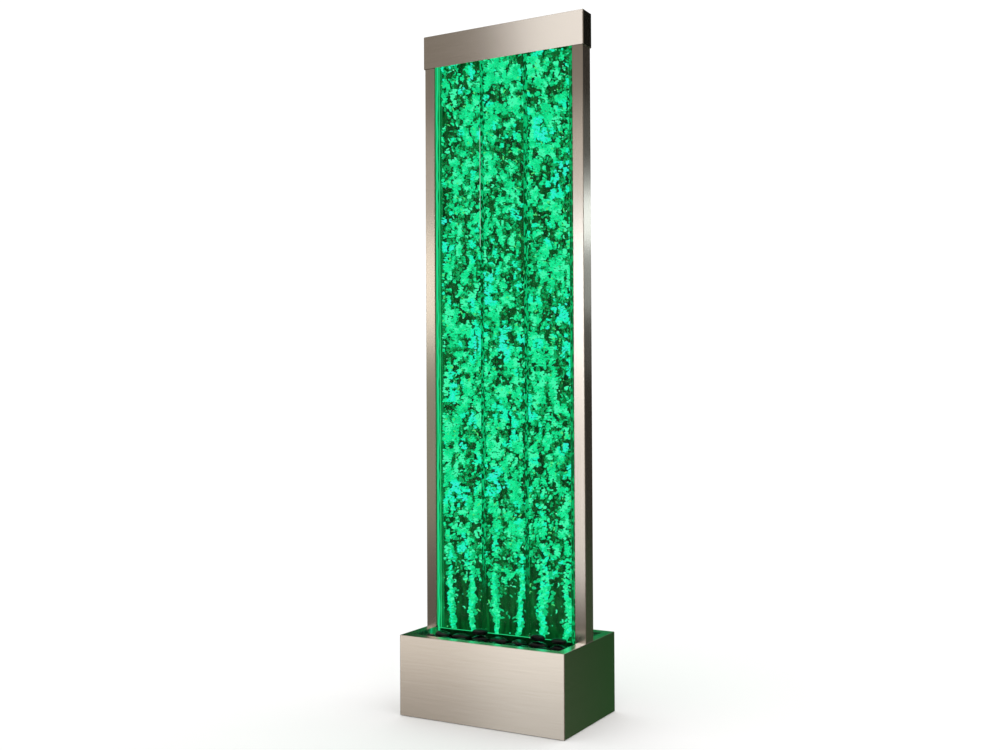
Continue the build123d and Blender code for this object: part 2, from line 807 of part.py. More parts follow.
# Recess panel: a folded pan behind the window in the back wall
inlet_centre = (recess_x, recess_z)
rocker_centre = (rocker_x, recess_z)
drain_centre = (drain_x, recess_z)
bezel_opening = (rocker_width + 2 * rocker_side_play + 2 * bezel_border,
                 rocker_length + 2 * rocker_play + 2 * bezel_border)
with BuildPart() as recess_panel:
    with BuildSketch(back_plane(recess_front)):
        with Locations((recess_x, recess_z)):
            Rectangle(recess_width + 2 * recess_flange, recess_height + 2 * recess_flange)
    extrude(amount=tray_sheet)
    with BuildSketch(back_plane(recess_front)):
        with Locations((recess_x, recess_z)):
            RectangleRounded(recess_width + 2 * tray_sheet, recess_height + 2 * tray_sheet,
                             recess_corner + tray_sheet)
    extrude(amount=recess_depth + tray_sheet)
    with BuildSketch(back_plane(recess_front)):
        with Locations((recess_x, recess_z)):
            RectangleRounded(recess_width, recess_height, recess_corner)
    extrude(amount=recess_depth, mode=Mode.SUBTRACT)
    with BuildSketch(back_plane(recess_floor)):
        with Locations(inlet_centre):
            Circle(inlet_radius + hole_clearance)
        with Locations(drain_centre):
            Circle(spout_radius + hole_clearance)
        with Locations(rocker_centre):
            Rectangle(bezel_opening[0] + hole_clearance, bezel_opening[1] + hole_clearance)
    extrude(amount=tray_sheet, mode=Mode.SUBTRACT)
    with BuildSketch(back_plane(recess_front)):
        with Locations((recess_x, recess_z)):
            with GridLocations(*recess_screw_pitch, 2, 2):
                Circle(screw_radius + hole_clearance)
    extrude(amount=tray_sheet, mode=Mode.SUBTRACT)
save(recess_panel, "recess_panel")

with BuildPart() as recess_panel_screws:
    with BuildSketch(back_plane(base_depth / 2)):
        with Locations((recess_x, recess_z)):
            with GridLocations(*recess_screw_pitch, 2, 2):
                Circle(screw_radius)
    extrude(amount=screw_length)
    with Locations(Location((recess_x, base_depth / 2 - steel / 2, recess_z), (-90, 0, 0))):
        with GridLocations(*recess_screw_pitch, 2, 2):
            Cone(screw_radius, screw_head - 2 * hole_clearance, steel)
save(recess_panel_screws, "recess_panel_screws")

# Power inlet: a round jack with a centre pin, held by a nut behind the panel
with BuildPart() as power_inlet:
    with BuildSketch(back_plane(recess_floor + inlet_flange_thickness)):
        with Locations(inlet_centre):
            Circle(inlet_flange)
    extrude(amount=inlet_flange_thickness)
    with BuildSketch(back_plane(recess_floor)):
        with Locations(inlet_centre):
            Circle(inlet_radius)
    extrude(amount=inlet_body)
    with BuildSketch(back_plane(recess_floor + inlet_flange_thickness)):
        with Locations(inlet_centre):
            Circle(inlet_bore)
            Circle(inlet_pin, mode=Mode.SUBTRACT)
    extrude(amount=inlet_bore_depth, mode=Mode.SUBTRACT)
save(power_inlet, "power_inlet")

with BuildPart() as power_inlet_nut:
    with BuildSketch(back_plane(recess_back)):
        with Locations(inlet_centre):
            RegularPolygon(inlet_nut_radius, 6)
            Circle(inlet_radius + pin_clearance, mode=Mode.SUBTRACT)
    extrude(amount=inlet_nut)
save(power_inlet_nut, "power_inlet_nut")

# Rocker switch: a bezel with a pocket, and a rocker that tips on two short pins
bezel_face = recess_floor + bezel_lip
pivot_y = bezel_face - rocker_depth / 2
pocket_width = rocker_width + 2 * rocker_side_play
pocket_length = rocker_length + 2 * rocker_play
with BuildPart() as switch_bezel:
    with BuildSketch(back_plane(bezel_face)):
        with Locations(rocker_centre):
            RectangleRounded(bezel_opening[0] + 2 * bezel_lip, bezel_opening[1] + 2 * bezel_lip,
                             bezel_rebate)
    extrude(amount=bezel_lip)
    chamfer(switch_bezel.faces().sort_by(Axis.Y)[-1].edges(), bezel_rebate / 2)
    with BuildSketch(back_plane(recess_floor)):
        with Locations(rocker_centre):
            Rectangle(*bezel_opening)
    extrude(amount=bezel_body)
    with BuildSketch(back_plane(bezel_face)):
        with Locations(rocker_centre):
            Rectangle(pocket_width, pocket_length)
    extrude(amount=rocker_length / 2 + rocker_depth, mode=Mode.SUBTRACT)
    with BuildSketch(Plane.YZ.offset(rocker_x)):
        with Locations((pivot_y, recess_z)):
            Circle(rocker_pin_radius + pin_clearance)
    extrude(amount=rocker_width / 2 + rocker_side_play + rocker_pin, both=True,
            mode=Mode.SUBTRACT)
save(switch_bezel, "switch_bezel")

tilt = math.radians(rocker_tilt)
rocker_plane = Plane(origin=(rocker_x, pivot_y, recess_z),
                     x_dir=(0, math.cos(tilt), math.sin(tilt)), z_dir=(1, 0, 0))
rocker_half = rocker_length / 2
rocker_sweep = rocker_half + rocker_depth
rocker_face = rocker_depth / 2 + rocker_valley
with BuildPart() as rocker:
    with BuildSketch(rocker_plane):
        with BuildLine():
            Polyline(
                (0, rocker_half),
                (rocker_face + rocker_crown, rocker_half),
                (rocker_face, 0),
                (rocker_face + rocker_crown, -rocker_half),
                (0, -rocker_half),
            )
            RadiusArc((0, -rocker_half), (0, rocker_half), rocker_sweep)
        make_face()
    extrude(amount=rocker_width / 2, both=True)
    with BuildSketch(rocker_plane):
        Circle(rocker_pin_radius)
    extrude(amount=rocker_width / 2 + rocker_pin, both=True)
save(rocker, "rocker")

# Drain: an outlet in the floor bar, a hose, a spout in the recess and a push-on cap
with BuildPart() as drain_outlet:
    with BuildSketch(Plane.XY.offset(drain_foot)):
        with Locations((drain_x, 0)):
            Circle(drain_radius)
    extrude(amount=tank_floor_top - drain_foot)
    with BuildSketch(Plane.XY.offset(tank_floor_under - drain_collar_thickness)):
        with Locations((drain_x, 0)):
            Circle(drain_collar)
    extrude(amount=drain_collar_thickness)
    with BuildSketch(Plane.XY.offset(drain_foot)):
        with Locations((drain_x, 0)):
            Circle(drain_bore)
    extrude(amount=tank_floor_top - drain_foot, mode=Mode.SUBTRACT)
save(drain_outlet, "drain_outlet")

spout_back = recess_back - drain_collar_thickness - spout_inner_length
with BuildPart() as drain_spout:
    with BuildSketch(back_plane(recess_floor + spout_length)):
        with Locations(drain_centre):
            Circle(spout_radius)
    extrude(amount=recess_floor + spout_length - spout_back)
    with BuildSketch(back_plane(recess_back)):
        with Locations(drain_centre):
            Circle(spout_radius + drain_collar_thickness)
    extrude(amount=drain_collar_thickness)
    with BuildSketch(back_plane(recess_floor + spout_length)):
        with Locations(drain_centre):
            Circle(drain_bore)
    extrude(amount=recess_floor + spout_length - spout_back, mode=Mode.SUBTRACT)
save(drain_spout, "drain_spout")

cap_radius = spout_radius + cap_clearance + cap_wall
cap_front = recess_floor + assembly_gap
cap_end = recess_floor + spout_length + assembly_gap + cap_wall
with BuildPart() as drain_cap:
    with BuildSketch(back_plane(cap_end)):
        with Locations(drain_centre):
            Circle(cap_radius)
            with PolarLocations(cap_radius, cap_ribs):
                Circle(cap_rib_radius)
    extrude(amount=cap_end - cap_front)
    with BuildSketch(back_plane(cap_end - cap_wall)):
        with Locations(drain_centre):
            Circle(spout_radius + cap_clearance)
    extrude(amount=cap_end - cap_wall - cap_front, mode=Mode.SUBTRACT)
save(drain_cap, "drain_cap")

tube([(drain_x, 0, drain_foot), (drain_x, 0, recess_z), (drain_x, spout_back, recess_z)],
     drain_hose_radius, "drain_hose")

# Leads inside the base
lead_z = plate_top + lead_rise
controller_back = controller_y + controller_width / 2
controller_top = plate_top + controller_height


def recess_lead(x, back, label):
    """A lead that leaves the recess straight, then drops to the back of the controller."""
    run = (back - controller_back) / 3
    tube([(x, back, recess_z), (x, back - run, recess_z),
          (x, controller_back + run, lead_z), (x, controller_back, lead_z)],
         lead_radius, label)


recess_lead(recess_x, recess_floor - inlet_body, "inlet_lead")
recess_lead(rocker_x, recess_floor - bezel_body, "switch_lead")
light_drop = (led_bar_under - controller_top) / 3
tube([(recess_x, led_bar_y, led_bar_under),
      (recess_x, led_bar_y, led_bar_under - light_drop),
      (recess_x, controller_y, controller_top + light_drop),
      (recess_x, controller_y, controller_top)],
     lead_radius, "led_lead")
tube([(controller_left, controller_y, lead_z), (pump_left + pump_length, controller_y, lead_z)],
     lead_radius, "pump_lead")
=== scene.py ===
import math

import bmesh
import bpy
import numpy as np
from mathutils import Matrix, Vector


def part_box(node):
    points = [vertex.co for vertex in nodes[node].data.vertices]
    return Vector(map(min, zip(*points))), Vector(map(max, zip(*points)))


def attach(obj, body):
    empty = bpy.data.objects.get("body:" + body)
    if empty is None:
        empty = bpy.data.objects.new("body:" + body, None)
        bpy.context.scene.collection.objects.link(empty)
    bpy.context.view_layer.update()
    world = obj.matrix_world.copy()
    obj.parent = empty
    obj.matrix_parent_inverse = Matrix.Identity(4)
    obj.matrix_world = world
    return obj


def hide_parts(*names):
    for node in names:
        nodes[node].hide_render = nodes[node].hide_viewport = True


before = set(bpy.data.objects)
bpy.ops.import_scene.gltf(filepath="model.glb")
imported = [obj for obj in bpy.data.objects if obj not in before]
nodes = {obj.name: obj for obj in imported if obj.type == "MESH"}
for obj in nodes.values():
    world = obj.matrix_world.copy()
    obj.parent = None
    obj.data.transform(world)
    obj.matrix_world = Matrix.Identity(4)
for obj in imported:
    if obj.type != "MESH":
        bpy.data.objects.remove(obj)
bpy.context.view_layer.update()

MM = 0.001


def corner(name, side):
    """One corner of a node's box as a Vector: side 0 is the lowest, side 1 the highest."""
    return Vector(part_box(name)[side])


# Camera, worked out from the vanishing of the base, posts and header in the photograph
camera_place = (1.4993, -2.7114, 0.8507)
camera_turn = 0.5107
camera_pitch = 0.0148
camera_roll = -0.0046
focal_pixels = 1164.4
image_width = 1000
sensor_width = 36.0

ahead = Vector((-math.sin(camera_turn) * math.cos(camera_pitch),
                math.cos(camera_turn) * math.cos(camera_pitch), math.sin(camera_pitch)))
level_right = Vector((math.cos(camera_turn), math.sin(camera_turn), 0))
level_up = level_right.cross(ahead)
right = level_right * math.cos(camera_roll) + level_up * math.sin(camera_roll)
up = level_up * math.cos(camera_roll) - level_right * math.sin(camera_roll)
camera_data = bpy.data.cameras.new("camera")
camera_data.sensor_width = sensor_width
camera_data.lens = focal_pixels * sensor_width / image_width
camera = bpy.data.objects.new("camera", camera_data)
camera.matrix_world = Matrix((right, up, -ahead)).transposed().to_4x4()
camera.location = camera_place
bpy.context.collection.objects.link(camera)
bpy.context.scene.camera = camera
bpy.context.scene.view_settings.view_transform = "Standard"

# Materials
side_bar_width = 9.0 * MM
# Water wets the sheets' inner faces and takes their shine away, so less than the 1.49 of dry acrylic
acrylic_ior = 1.1
acrylic_shine = 0.2
water_ior = 1.33
# Most of a noise pattern's values lie between these two
noise_low, noise_high = 0.3, 0.7


def linear(hex_colour):
    """An sRGB hex colour as the linear RGBA that shader sockets hold."""
    parts = [int(hex_colour[place:place + 2], 16) / 255 for place in (1, 3, 5)]
    return tuple(part / 12.92 if part <= 0.04045 else ((part + 0.055) / 1.055) ** 2.4
                 for part in parts) + (1.0,)


def add_node(tree, kind, values=None, links=None, steps=(), **settings):
    """Adds one node: settings, sockets' values, links from other sockets, a ramp's (place, hex) steps."""
    made = tree.nodes.new(kind)
    for name, value in settings.items():
        setattr(made, name, value)
    for socket, value in (values or {}).items():
        made.inputs[socket].default_value = value
    for socket, source in (links or {}).items():
        tree.links.new(source, made.inputs[socket])
    # A new ramp has two steps
    for step in steps[2:]:
        made.color_ramp.elements.new(0.5)
    for number, (position, hex_colour) in enumerate(steps):
        made.color_ramp.elements[number].position = position
        made.color_ramp.elements[number].color = linear(hex_colour)
    return made


def new_material(name, **values):
    """A material with an empty tree but for its shader, whose sockets take the values given."""
    material = bpy.data.materials.new(name)
    material.use_nodes = True
    tree = material.node_tree
    tree.nodes.clear()
    shader = add_node(tree, "ShaderNodeBsdfPrincipled",
                      {key.replace("_", " "): value for key, value in values.items()})
    add_node(tree, "ShaderNodeOutputMaterial", links={"Surface": shader.outputs["BSDF"]})
    return material, tree, shader


def stretched_noise(tree, grain, detail=3.0, roughness=0.55):
    """Noise whose grains measure grain = (x, y, z) millimetres on the object."""
    place = add_node(tree, "ShaderNodeTexCoord")
    scaled = add_node(tree, "ShaderNodeMapping", {"Scale": [1 / (size * MM) for size in grain]},
                      {"Vector": place.outputs["Object"]})
    return add_node(tree, "ShaderNodeTexNoise",
                    {"Scale": 1.0, "Detail": detail, "Roughness": roughness},
                    {"Vector": scaled.outputs["Vector"]}).outputs["Fac"]


def vary(tree, shader, pattern, dark, light, smooth, rough, dark_until=noise_low,
         tooth=None, height_mm=0.0, strength=1.0):
    """Lets a pattern vary colour and roughness, and another, the tooth, raise the surface to a height."""
    tint = add_node(tree, "ShaderNodeValToRGB", links={"Fac": pattern},
                    steps=((dark_until, dark), (noise_high, light)))
    tree.links.new(tint.outputs["Color"], shader.inputs["Base Color"])
    gloss = add_node(tree, "ShaderNodeMapRange",
                     {"From Min": noise_low, "From Max": noise_high, "To Min": smooth, "To Max": rough},
                     {"Value": pattern})
    tree.links.new(gloss.outputs["Result"], shader.inputs["Roughness"])
    if tooth:
        raised = add_node(tree, "ShaderNodeBump",
                          {"Strength": strength, "Distance": height_mm * MM}, {"Height": tooth})
        tree.links.new(raised.outputs["Normal"], shader.inputs["Normal"])


def brushed_stainless(name, grain, turn):
    """Stainless sheet brushed with a belt: satin, warm, its shine drawn out square to the stroke."""
    material, tree, shader = new_material(name, Metallic=1.0, Anisotropic=0.8,
                                          Anisotropic_Rotation=turn)
    lines = stretched_noise(tree, grain, detail=2.0)
    vary(tree, shader, lines, "#DFD9D1", "#E9E4DD", smooth=0.25, rough=0.27,
         tooth=lines, height_mm=0.002, strength=0.2)
    return material


def plain_metal(name, light, dark, middle_roughness):
    """Plated or cast metal with the slight clouding of its coat, in patches of 6 mm."""
    material, tree, shader = new_material(name, Metallic=1.0)
    vary(tree, shader, stretched_noise(tree, (6, 6, 6)), dark, light,
         smooth=middle_roughness - 0.05, rough=middle_roughness + 0.08)
    return material


def moulded(name, light, dark, middle_roughness):
    """Rubber or plastic as it leaves the mould: one colour, faintly mottled, with a fine tooth."""
    material, tree, shader = new_material(name, IOR=1.5)
    mottle = stretched_noise(tree, (2, 2, 2))
    vary(tree, shader, mottle, dark, light,
         smooth=middle_roughness - 0.06, rough=middle_roughness + 0.06,
         tooth=mottle, height_mm=0.05, strength=0.3)
    return material


def river_stone_material():
    """Water-worn basalt, waxed: nearly black, glossy, with faint grey-green clouding."""
    material, tree, shader = new_material("waxed_basalt_pebble", IOR=1.5, Specular_IOR_Level=0.3)
    clouding = stretched_noise(tree, (14, 14, 9), detail=5.0)
    grit = stretched_noise(tree, (1.5, 1.5, 1.5))
    vary(tree, shader, clouding, "#050706", "#131815", smooth=0.08, rough=0.2, dark_until=0.35,
         tooth=grit, height_mm=0.08, strength=0.4)
    return material


def wet_sheet_acrylic():
    """Clear cast acrylic with water behind it: polished, nearly unseen, a hint of green in its depth."""
    return new_material("clear_cast_acrylic", IOR=acrylic_ior, Roughness=0.02,
                        Transmission_Weight=1.0, Base_Color=linear("#F6FFFA"))[0]


def lit_acrylic(name, light, dark, glow, grain):
    """Cast acrylic close to the diodes: the light it carries is painted into it as a glow given off all
    over; the diodes' lenses use it for their own light.
    """
    material, tree, shader = new_material(name, IOR=acrylic_ior, Roughness=0.04,
                                          Specular_IOR_Level=acrylic_shine, Emission_Strength=glow)
    tint = add_node(tree, "ShaderNodeValToRGB", links={"Fac": stretched_noise(tree, grain)},
                    steps=((0.35, dark), (noise_high, light)))
    for socket in ("Base Color", "Emission Color"):
        tree.links.new(tint.outputs["Color"], shader.inputs[socket])
    return material


def divider_material():
    """Clear acrylic deep in the panel: the bubbles on its far side, broken up by its faces, are painted
    into it as a glow.
    """
    dark, bright = "#054A1E", "#0AC878"
    bubbles_from, bubbles_full_at = corner("tank_floor", 1).z + 100 * MM, 450 * MM
    material, tree, shader = new_material("acrylic_divider_painted_glow", IOR=acrylic_ior, Roughness=0.04,
                                          Specular_IOR_Level=acrylic_shine, Emission_Strength=0.9,
                                          Base_Color=linear("#02180A"))
    clusters = add_node(tree, "ShaderNodeValToRGB",
                        links={"Fac": stretched_noise(tree, (9, 9, 12), detail=1.0)},
                        steps=((0.47, dark), (0.53, bright)))
    place = add_node(tree, "ShaderNodeTexCoord")
    axes = add_node(tree, "ShaderNodeSeparateXYZ", links={"Vector": place.outputs["Object"]})
    # The painted glow of the bubbles is dark low down and full from 450 mm up
    rise = add_node(tree, "ShaderNodeMapRange",
                    {"From Min": bubbles_from, "From Max": bubbles_full_at},
                    {"Value": axes.outputs["Z"]})
    mixed = add_node(tree, "ShaderNodeMix", {"A": linear(dark)},
                     {"Factor": rise.outputs["Result"], "B": clusters.outputs["Color"]},
                     data_type="RGBA")
    tree.links.new(mixed.outputs["Result"], shader.inputs["Emission Color"])
    return material


def side_bar_acrylic():
    """Cast acrylic bars lit from below: the light that runs up inside them is painted into them as a
    glow, and more of it in the left one.
    """
    bar_left = corner("tank_side_bars", 0).x
    material, tree, shader = new_material("edge_lit_acrylic_bar", IOR=acrylic_ior, Roughness=0.04,
                                          Specular_IOR_Level=acrylic_shine, Emission_Strength=1.0,
                                          Base_Color=linear("#02180A"))
    place = add_node(tree, "ShaderNodeTexCoord")
    axes = add_node(tree, "ShaderNodeSeparateXYZ", links={"Vector": place.outputs["Object"]})
    across = add_node(tree, "ShaderNodeMapRange",
                      {"From Min": bar_left, "From Max": bar_left + side_bar_width},
                      {"Value": axes.outputs["X"]})
    waver = add_node(tree, "ShaderNodeMix", {"Factor": 0.5},
                     {"A": across.outputs["Result"],
                      "B": stretched_noise(tree, (90, 90, 45), detail=1.0)})
    # Painted highlight: the glow is brightest near the middle of the bar, in a line that wavers as it
    # rises
    left = add_node(tree, "ShaderNodeValToRGB", links={"Fac": waver.outputs["Result"]},
                    steps=((0.22, "#0E9048"), (0.33, "#14B46C"), (0.45, "#22DE98"),
                           (0.53, "#26E49C"), (0.63, "#129A58"), (0.74, "#067038")))
    is_right = add_node(tree, "ShaderNodeMath", {1: 0.0}, {0: axes.outputs["X"]},
                        operation="GREATER_THAN")
    # The right bar's glow is painted darker, with bright flecks
    right = add_node(tree, "ShaderNodeValToRGB",
                     links={"Fac": stretched_noise(tree, (7, 7, 10), detail=1.0)},
                     steps=((0.48, "#04441E"), (0.56, "#0AB868")))
    tint = add_node(tree, "ShaderNodeMix", None,
                    {"Factor": is_right.outputs["Value"], "A": left.outputs["Color"],
                     "B": right.outputs["Color"]}, data_type="RGBA")
    tree.links.new(tint.outputs["Result"], shader.inputs["Emission Color"])
    return material


# Stroke lines are drawn about 1 mm apart, coarser than the real 0.1 mm, so that they show
steel_across = brushed_stainless("brushed_stainless_sheet", (90, 90, 0.9), 0.25)
steel_along = brushed_stainless("brushed_stainless_post", (0.9, 0.9, 120), 0.0)
zinc = plain_metal("zinc_plated_steel", "#C9CBCE", "#A9ACB0", 0.42)
bright_screw = plain_metal("bright_plated_screw", "#E2E3E6", "#C2C4C8", 0.25)
aluminium = plain_metal("plain_aluminium", "#D5D7DA", "#B9BCC0", 0.38)
black_rubber = moulded("black_rubber", "#1C1C1C", "#111111", 0.75)
black_plastic = moulded("moulded_black_abs", "#1E1E20", "#121214", 0.45)
clear_hose = moulded("translucent_silicone_hose", "#D2DAD6", "#B9C2BD", 0.4)
board_white = moulded("white_circuit_board", "#E8EAE6", "#D2D5D0", 0.5)
sheet_acrylic = wet_sheet_acrylic()
edge_acrylic = side_bar_acrylic()
# Painted glow: the floor bar, lid, nozzles and drain outlet give off the diodes' light as emission
floor_acrylic = lit_acrylic("lit_acrylic_floor_bar", "#053818", "#021A0A", 0.5, (10, 10, 10))
divider_painted_glow = divider_material()
diode = lit_acrylic("lit_diode_lens", "#B8FFD8", "#5CFFA6", 3.0, (2, 2, 2))
pebble = river_stone_material()

finishes = {
    steel_across: ["base_shell", "stone_tray", "recess_panel", "header_cap"],
    steel_along: ["post_left", "post_right"],
    zinc: ["bottom_plate", "post_brackets", "post_foot_plates", "post_top_plates", "top_tie_bar"],
    bright_screw: ["bottom_plate_screws", "post_bolts", "tie_screws", "controller_screws",
                   "recess_panel_screws", "power_inlet_nut"],
    sheet_acrylic: ["tank_front_sheet", "tank_back_sheet"],
    edge_acrylic: ["tank_side_bars"],
    floor_acrylic: ["tank_floor", "tank_lid", "air_nozzles", "drain_outlet"],
    divider_painted_glow: ["tank_dividers"],
    black_rubber: ["foot_pads", "pump_mounts", "tank_bed_strips", "side_cushions",
                   "top_cushions", "filler_bung", "drain_cap"],
    black_plastic: ["led_controller", "switch_bezel", "rocker", "power_inlet", "drain_spout",
                    "air_manifold", "check_valve", "inlet_lead", "switch_lead", "led_lead",
                    "pump_lead"],
    clear_hose: ["air_hose_lower", "air_hose_upper", "drain_hose"],
    aluminium: ["led_bar", "led_bar_brackets", "air_pump"],
    board_white: ["led_strip"],
    diode: ["led_chips"],
}
for material, names in finishes.items():
    for name in names:
        mesh = nodes[name].data
        mesh.materials.clear()
        mesh.materials.append(material)


# Meshes
def mesh_piece(name, points, faces, materials, face_materials=None, smooth=True):
    """A mesh object from arrays of points and of triangles or quads."""
    mesh = bpy.data.meshes.new(name)
    sides = faces.shape[1]
    mesh.vertices.add(len(points))
    mesh.vertices.foreach_set("co", np.ascontiguousarray(points, dtype=np.float32).ravel())
    mesh.loops.add(faces.size)
    mesh.loops.foreach_set("vertex_index", np.ascontiguousarray(faces, dtype=np.int32).ravel())
    mesh.polygons.add(len(faces))
    mesh.polygons.foreach_set("loop_start", np.arange(0, faces.size, sides, dtype=np.int32))
    for material in materials:
        mesh.materials.append(material)
    if face_materials is not None:
        mesh.polygons.foreach_set("material_index", face_materials.astype(np.int32))
    mesh.polygons.foreach_set("use_smooth", np.full(len(faces), smooth))
    mesh.update(calc_edges=True)
    mesh.validate()
    piece = bpy.data.objects.new(name, mesh)
    bpy.context.collection.objects.link(piece)
    return piece


def points_and_faces(made):
    """The points and triangles of a mesh in the making, which is then let go."""
    made.verts.index_update()
    points = np.array([vertex.co[:] for vertex in made.verts])
    faces = np.array([[vertex.index for vertex in face.verts] for face in made.faces])
    made.free()
    return points, faces


def ball(subdivisions):
    """Points and triangles of a unit icosphere."""
    made = bmesh.new()
    bmesh.ops.create_icosphere(made, subdivisions=subdivisions, radius=1.0)
    return points_and_faces(made)


def round_bead():
    """Points and triangles of a unit ball of 18 points: an octahedron with its edges halved."""
    made = bmesh.new()
    for axis in ((1, 0, 0), (0, 1, 0), (0, 0, 1)):
        for side in (1, -1):
            made.verts.new(Vector(axis) * side)
    bmesh.ops.convex_hull(made, input=made.verts)
    bmesh.ops.subdivide_edges(made, edges=made.edges, cuts=1, use_grid_fill=True)
    bmesh.ops.triangulate(made, faces=made.faces)
    for vertex in made.verts:
        vertex.co.normalize()
    return points_and_faces(made)


# River stones: each solid of the node is redrawn as a smooth stone close to its own place
def solids_of(node_name):
    """The points of each separate solid of a node."""
    made = bmesh.new()
    made.from_mesh(nodes[node_name].data)
    bmesh.ops.remove_doubles(made, verts=made.verts, dist=0.01 * MM)
    made.verts.ensure_lookup_table()
    groups, seen = [], set()
    for start in made.verts:
        if start in seen:
            continue
        group, edge = [], [start]
        seen.add(start)
        while edge:
            vertex = edge.pop()
            group.append(vertex.co.copy())
            for link in vertex.link_edges:
                other = link.other_vert(vertex)
                if other not in seen:
                    seen.add(other)
                    edge.append(other)
        groups.append(np.array(group))
    made.free()
    return groups


def wandered(middle):
    """How far a stone lies out of its row: the rows wander, but keep clear of rim and panel."""
    well_half_width, well_half_depth, panel_half_depth = 216, 127, 22
    most_aside, aside_wave = 4.5, 75
    most_back, back_wave = 2.5, 150
    x, y = middle[0] / MM, middle[1] / MM
    front_or_back = y / abs(y)
    depth = (abs(y) - panel_half_depth) / (well_half_depth - panel_half_depth)
    aside = (most_aside * math.sin(2 * math.pi * y / aside_wave + 1)
             * math.cos(math.pi * x / 2 / well_half_width))
    back = (most_back * math.sin(2 * math.pi * x / back_wave + 2 * front_or_back)
            * math.sin(math.pi * depth))
    return np.array([aside, back, 0]) * MM


def smooth_stones(node_name, seed):
    """Rounded, slightly lopsided pebbles in the places of the node's solids, each turned a little."""
    waves, wave_pitch, wave_height = 5, 1.6, 0.05
    squareness, crown, most_turn = 0.86, 0.06, 0.35
    source, faces = ball(4)
    random = np.random.default_rng(seed)
    all_points, all_faces, start = [], [], 0
    for solid in solids_of(node_name):
        low, high = solid.min(axis=0), solid.max(axis=0)
        middle, half = (low + high) / 2, (high - low) / 2
        points = source.copy()
        lopsided = sum(np.outer(np.sin(points @ random.normal(0, wave_pitch, 3)
                                       + random.uniform(0, 6.28)),
                                random.normal(0, wave_height, 3)) for wave in range(waves))
        points = np.sign(points) * np.abs(points) ** squareness + lopsided
        points /= np.abs(points).max(axis=0)
        points[:, 2] *= 1 - crown + crown * np.abs(points[:, 2])
        points *= half
        turn = random.uniform(-most_turn, most_turn)
        points[:, :2] = points[:, :2] @ np.array([[math.cos(turn), math.sin(turn)],
                                                  [-math.sin(turn), math.cos(turn)]])
        all_points.append(middle + wandered(middle) + points)
        all_faces.append(faces + start)
        start += len(points)
    piece = mesh_piece(node_name + "_smooth", np.concatenate(all_points),
                       np.concatenate(all_faces), [pebble])
    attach(piece, "lamp")
    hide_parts(node_name)


for node_name, seed in (("river_stones_front", 3), ("river_stones_back", 8)):
    smooth_stones(node_name, seed)

# The water and its bubbles
chamber_low = corner("tank_floor", 0)
chamber_high = corner("tank_lid", 1)
water_foot = corner("tank_floor", 1).z
water_top = corner("header_cap", 0).z + 12 * MM
water_height_mm = (water_top - water_foot) / MM
divider_half = 2 * MM
channels = 3
channel_width = (chamber_high.x - chamber_low.x) / channels
# Bubbles keep clear of the bars and dividers, and the painted-shade slab of the water is a little wider
bubble_gap = 1.0 * MM
core_gap = bubble_gap / 4
# How far the largest bubbles reach towards the sheets from the middle of the water
bubble_reach = chamber_high.y - 3 * MM
nozzles_each = 2
# For each channel's two columns: how far they lean (millimetres), and how full they are
column_leans = ((-7, -8), (0, 12), (9, 17))
column_sizes = ((0.9, 1.0), (1.0, 1.1), (1.5, 1.2))
bluer_columns = ((0, 0), (1, 1), (2, 0))


def glow(name, hex_colour):
    """Air bubbles and cement over the diodes: the light they scatter is painted into them as a glow, so
    that they read as lit.
    """
    material = new_material(name, Roughness=0.4, IOR=water_ior, Base_Color=linear("#02100A"),
                            Specular_IOR_Level=0.1, Emission_Color=linear(hex_colour),
                            Emission_Strength=1.0)[0]
    # So many small lights are found well enough by the rays that hit them
    material.cycles.emission_sampling = "NONE"
    return material


bubble_tones = {
    "spring": glow("bubble_spring_green", "#18EA98"),
    "mint": glow("bubble_mint_green", "#10D888"),
    "light": glow("bubble_light_green", "#40F8B0"),
    "leaf": glow("bubble_leaf_green", "#50E47C"),
    "cyan": glow("bubble_cyan_green", "#18F4BC"),
    "aqua": glow("bubble_aqua", "#30F0D4"),
    "soft": glow("bubble_soft_green", "#0EC47A"),
    "mid": glow("bubble_mid_green", "#0CA45C"),
    "deep": glow("bubble_deep_green", "#067838"),
    "pale": glow("bubble_pale_green", "#78FFC0"),
}
tone_index = {tone: place for place, tone in enumerate(bubble_tones)}
# Painted glow of the cemented seams: a bright copy, a pale copy that is a painted highlight, and a dim
# copy that is painted shade
seam_glow = glow("lit_cement_seam", "#26E486")
seam_painted_highlight = glow("lit_cement_seam_pale", "#A8E8D0")
seam_painted_shade = glow("lit_cement_seam_dim", "#0C8A48")


def water_shade_and_glow_material():
    """Lit water, painted: a dark green painted shade, with long upright streaks of painted glow where the
    light gets through.
    """
    material, tree, shader = new_material("deep_lit_water", Roughness=0.2, IOR=water_ior,
                                          Specular_IOR_Level=0.1, Emission_Strength=1.0,
                                          Base_Color=linear("#010A04"))
    streaks = stretched_noise(tree, (14, 14, 55), detail=4.0, roughness=0.65)
    tint = add_node(tree, "ShaderNodeValToRGB", links={"Fac": streaks},
                    steps=((0.34, "#022A0E"), (0.47, "#044018"), (0.58, "#075824"),
                           (0.72, "#0A7034")))
    tree.links.new(tint.outputs["Color"], shader.inputs["Emission Color"])
    return material


